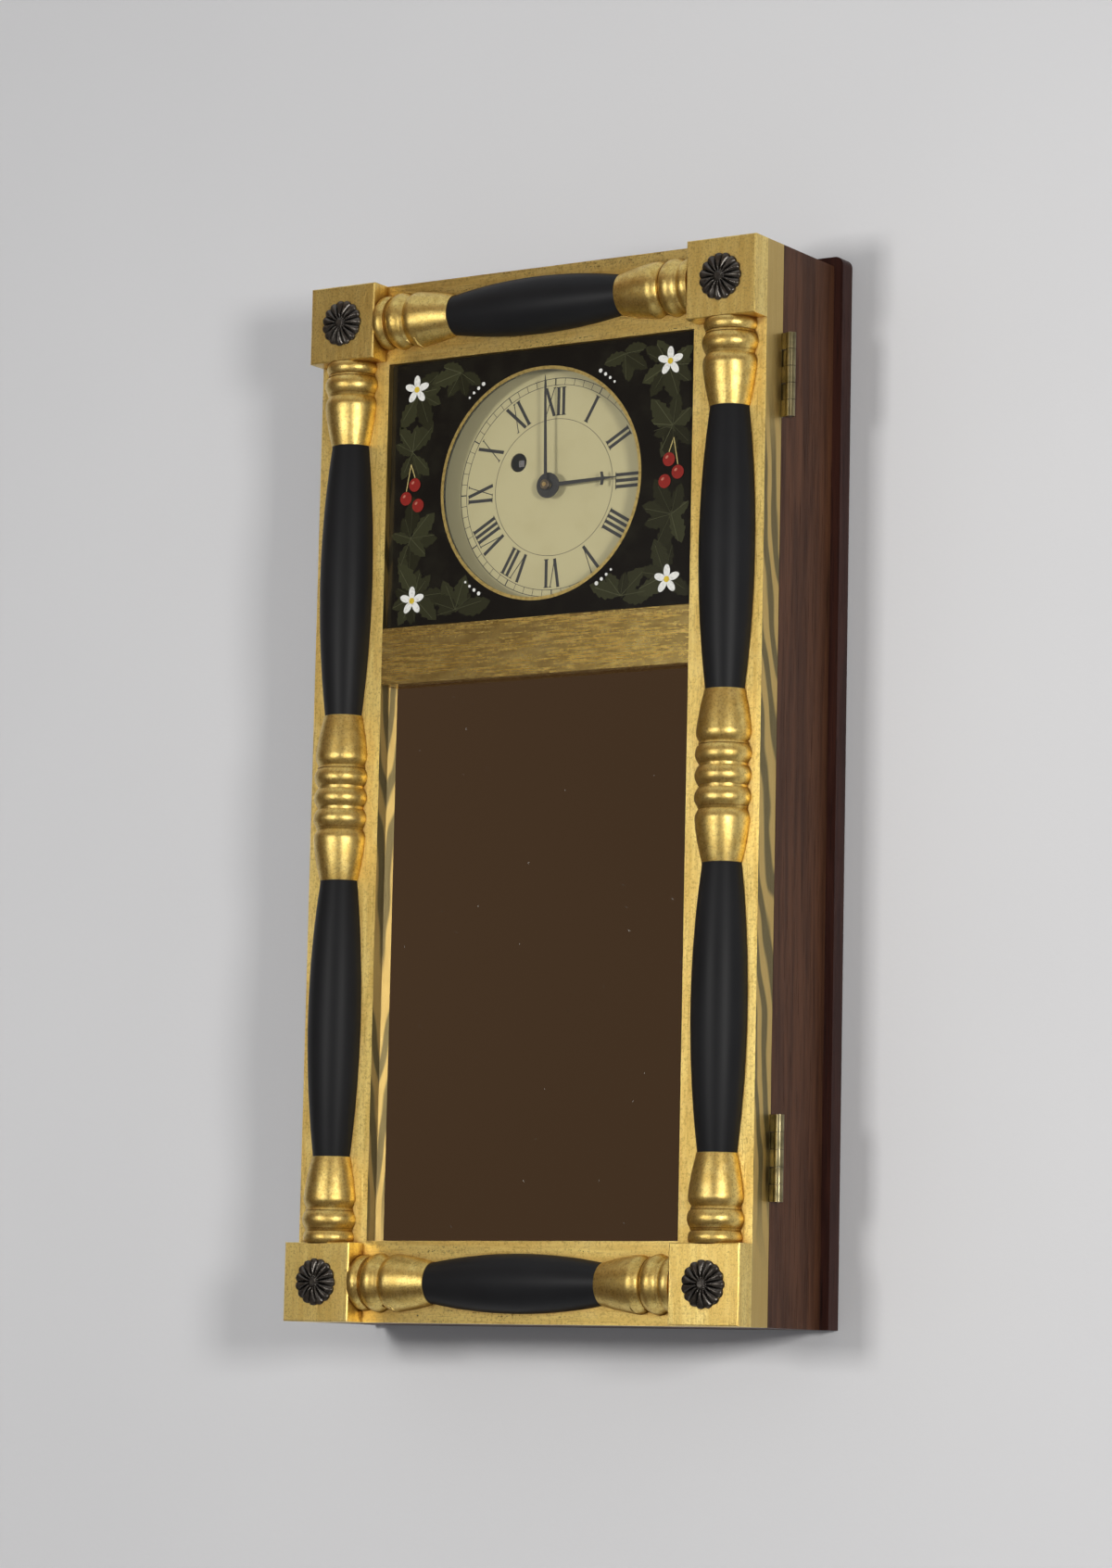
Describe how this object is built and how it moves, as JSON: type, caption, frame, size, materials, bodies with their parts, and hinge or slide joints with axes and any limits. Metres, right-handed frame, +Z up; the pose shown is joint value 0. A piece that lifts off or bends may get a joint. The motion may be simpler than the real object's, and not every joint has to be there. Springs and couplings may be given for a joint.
{
  "type": "mirror clock",
  "caption": "Wall clock with a gilt split-column door frame, corner blocks with rosettes, painted tablet over a dial, mirror below and a weight driven movement inside.",
  "frame": {"origin": "centre of the round hanger hole, on the wall's plane", "axes": "+X to the viewer's right, +Y back into the wall, +Z up"},
  "size_m": [0.3712, 0.1235, 0.7176],
  "materials": {
    "case_mahogany": "old dark red-brown varnish",
    "pine": "bare aged softwood",
    "gilt_wood": "gold leaf on wood, worn and streaky",
    "dark_bronze": "cast and stained nearly black",
    "brass": "turned and polished, slightly dull",
    "hinge_brass": "tarnished olive brass",
    "steel": "plain grey steel",
    "black_steel": "black enamel",
    "dial_paint": "cream paint with black numerals on iron sheet",
    "line": "twisted gut line",
    "iron": "rough cast iron",
    "painted_glass": "glass painted on the back",
    "mirror": "silvered plate glass"
  },
  "bodies": {
    "case": {"back_board": "case_mahogany", "case_left_side": "case_mahogany", "case_right_side": "case_mahogany", "case_top_board": "case_mahogany", "case_bottom_board": "case_mahogany", "wall_hanger": "brass", "case_screws": "steel", "dial": "dial_paint", "inner_cleats": "pine", "movement_back_plate": "brass", "movement_front_plate": "brass", "movement_pillars": "steel", "movement_screws": "steel", "suspension_cock": "brass", "hinge_case_leaves": "hinge_brass", "hinge_pins": "steel", "pulley_bracket": "steel", "line_run": "line", "line_fall": "line"},
    "door": {"door_left_stile": "gilt_wood", "door_right_stile": "gilt_wood", "door_top_rail": "gilt_wood", "door_mid_rail": "gilt_wood", "door_bottom_rail": "gilt_wood", "corner_blocks": "gilt_wood", "rosettes": "dark_bronze", "left_column": "gilt_wood", "right_column": "gilt_wood", "top_column": "gilt_wood", "bottom_column": "gilt_wood", "tablet_glass": "painted_glass", "mirror_glass": "mirror", "glazing_beads": "pine", "mirror_backing_board": "pine", "hinge_door_leaves": "hinge_brass", "door_screws": "steel", "latch_stud": "hinge_brass"},
    "latch_hook": {"latch_hook": "hinge_brass"},
    "great_wheel": {"great_wheel": "brass"},
    "click": {"click": "steel"},
    "drum": {"winding_drum": "brass", "winding_arbor": "steel", "line_windings": "line"},
    "top_pulley": {"top_pulley": "brass"},
    "minute": {"centre_wheel": "brass", "cannon_pinion": "steel", "minute_hand": "black_steel", "hand_collet": "brass"},
    "third": {"third_wheel": "brass"},
    "escape": {"escape_wheel": "brass"},
    "pallets": {"pallets": "steel", "crutch": "steel"},
    "pendulum": {"suspension_spring": "steel", "pendulum_rod": "steel", "pendulum_bob": "brass", "rating_nut": "brass"},
    "motion": {"minute_wheel": "brass"},
    "hour": {"hour_wheel": "brass", "hour_hand": "black_steel"},
    "weight": {"weight": "iron"}
  },
  "joints": [
    {"name": "door_swing", "type": "hinge", "parent": "case", "child": "door", "pos_m": [0.1839, -0.0812, -0.33], "axis": [0, 0, 1], "range_deg": [0, 170]},
    {"name": "latch_turn", "type": "hinge", "parent": "case", "child": "latch_hook", "pos_m": [-0.1785, -0.068, -0.3596], "axis": [1, 0, 0], "range_deg": [0, 270]},
    {"name": "weight_travel", "type": "slide", "parent": "case", "child": "weight", "axis": [0, 0, 1], "range_m": [0, 0.36], "deforming": ["line_fall"]},
    {"name": "drum_turn", "type": "hinge", "parent": "case", "child": "drum", "pos_m": [-0.0287, -0.045, -0.1067], "axis": [0, 1, 0], "range_deg": [0, 2080]},
    {"name": "pulley_turn", "type": "hinge", "parent": "case", "child": "top_pulley", "pos_m": [-0.1015, -0.043, -0.0126], "axis": [0, 1, 0], "range_deg": [0, 1880]},
    {"name": "click_lift", "type": "hinge", "parent": "great_wheel", "child": "click", "pos_m": [-0.0287, -0.053, -0.1277], "axis": [0, 1, 0], "range_deg": [0, 12]},
    {"name": "minute_turn", "type": "hinge", "parent": "case", "child": "minute", "pos_m": [0, -0.045, -0.126], "axis": [0, 1, 0], "continuous": true},
    {"name": "great_turn", "type": "hinge", "parent": "case", "child": "great_wheel", "pos_m": [-0.0287, -0.055, -0.1067], "axis": [0, 1, 0], "continuous": true},
    {"name": "third_turn", "type": "hinge", "parent": "case", "child": "third", "pos_m": [0.00789, -0.045, -0.10546], "axis": [0, 1, 0], "continuous": true},
    {"name": "escape_turn", "type": "hinge", "parent": "case", "child": "escape", "pos_m": [0, -0.045, -0.086], "axis": [0, 1, 0], "continuous": true},
    {"name": "motion_turn", "type": "hinge", "parent": "case", "child": "motion", "pos_m": [0.01061, -0.066, -0.13661], "axis": [0, 1, 0], "continuous": true},
    {"name": "hour_turn", "type": "hinge", "parent": "case", "child": "hour", "pos_m": [0, -0.07, -0.126], "axis": [0, 1, 0], "continuous": true},
    {"name": "pendulum_swing", "type": "hinge", "parent": "case", "child": "pendulum", "pos_m": [0, -0.0195, -0.0648], "axis": [0, 1, 0], "range_deg": [-2.5, 2.5]},
    {"name": "pallet_rock", "type": "hinge", "parent": "case", "child": "pallets", "pos_m": [0, -0.04, -0.0648], "axis": [0, 1, 0], "range_deg": [-2.5, 2.5]}
  ],
  "couplings": [
    {"joint": "drum_turn", "follows": "weight_travel", "rad_per_m": 100.5},
    {"joint": "pulley_turn", "follows": "weight_travel", "rad_per_m": 90.909},
    {"joint": "great_turn", "follows": "minute_turn", "ratio": -0.083333},
    {"joint": "third_turn", "follows": "minute_turn", "ratio": -10},
    {"joint": "escape_turn", "follows": "minute_turn", "ratio": 95},
    {"joint": "motion_turn", "follows": "minute_turn", "ratio": -0.33333},
    {"joint": "hour_turn", "follows": "minute_turn", "ratio": 0.083333},
    {"joint": "pallet_rock", "follows": "pendulum_swing", "ratio": 1}
  ]
}
